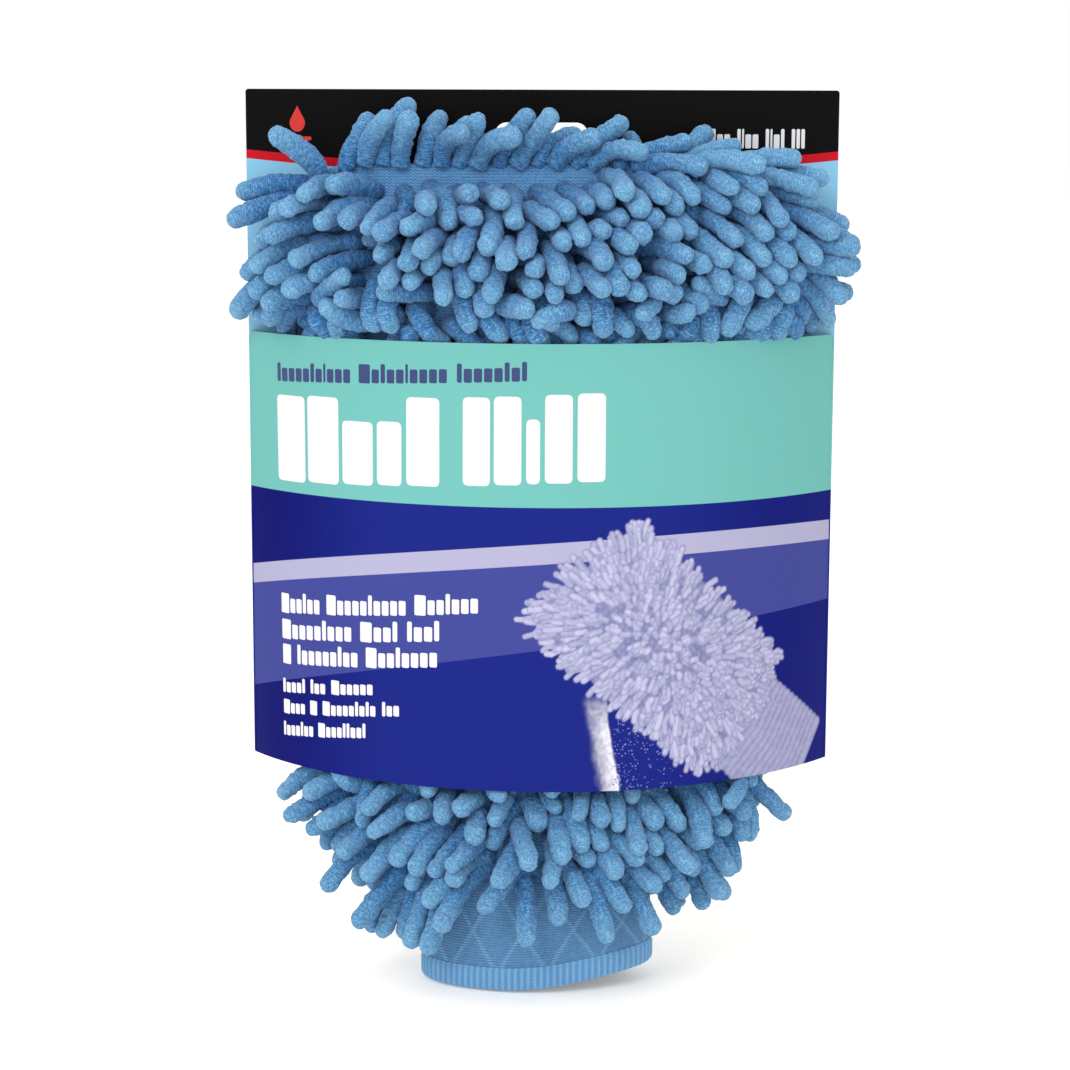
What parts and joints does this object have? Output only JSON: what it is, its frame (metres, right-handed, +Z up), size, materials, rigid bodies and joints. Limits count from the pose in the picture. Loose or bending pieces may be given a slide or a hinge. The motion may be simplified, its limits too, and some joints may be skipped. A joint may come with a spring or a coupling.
{
  "type": "wash mitt",
  "caption": "Blue chenille microfibre wash mitt with an elastic knitted cuff, held in a printed retail card sleeve with a hang slot.",
  "frame": {"origin": "centre of the card's hang slot, on the card's flat back face", "axes": "+Z up along the card towards its header, +Y out of the card's flat back, +X to the right seen from the printed front"},
  "size_m": [0.212, 0.055, 0.306],
  "materials": {
    "printed_card": "printed, semi-gloss",
    "chenille": "plush",
    "knit_backing": "knitted",
    "cuff_knit": "jacquard knit",
    "thread": "overlocked",
    "elastic": "woven elastic"
  },
  "bodies": {
    "sleeve": {"card_sleeve": "printed_card"},
    "mitt": {"front_panel": "knit_backing", "back_panel": "knit_backing", "perimeter_seam": "thread", "wrist_seam": "thread", "cuff_knit": "cuff_knit", "cuff_hem": "cuff_knit", "cuff_elastic": "elastic", "top_edge_row": "chenille", "front_row_01": "chenille", "front_row_02": "chenille", "front_row_03": "chenille", "front_row_04": "chenille", "front_row_05": "chenille", "front_row_06": "chenille", "front_row_07": "chenille", "front_row_08": "chenille", "front_row_09": "chenille", "front_row_10": "chenille", "front_row_11": "chenille", "front_row_12": "chenille", "front_row_13": "chenille", "front_row_14": "chenille", "front_row_15": "chenille", "front_row_16": "chenille", "front_row_17": "chenille", "front_row_18": "chenille", "front_row_19": "chenille", "front_row_20": "chenille", "back_row_01": "chenille", "back_row_02": "chenille", "back_row_03": "chenille", "back_row_04": "chenille", "back_row_05": "chenille", "back_row_06": "chenille", "back_row_07": "chenille", "back_row_08": "chenille", "back_row_09": "chenille", "back_row_10": "chenille", "back_row_11": "chenille", "back_row_12": "chenille", "back_row_13": "chenille", "back_row_14": "chenille", "back_row_15": "chenille", "back_row_16": "chenille", "back_row_17": "chenille", "back_row_18": "chenille", "back_row_19": "chenille", "back_row_20": "chenille", "back_row_21": "chenille"}
  },
  "joints": [
    {"name": "mitt_slide", "type": "slide", "parent": "sleeve", "child": "mitt", "axis": [0, 0, 1], "range_m": [0, 0.235]}
  ]
}
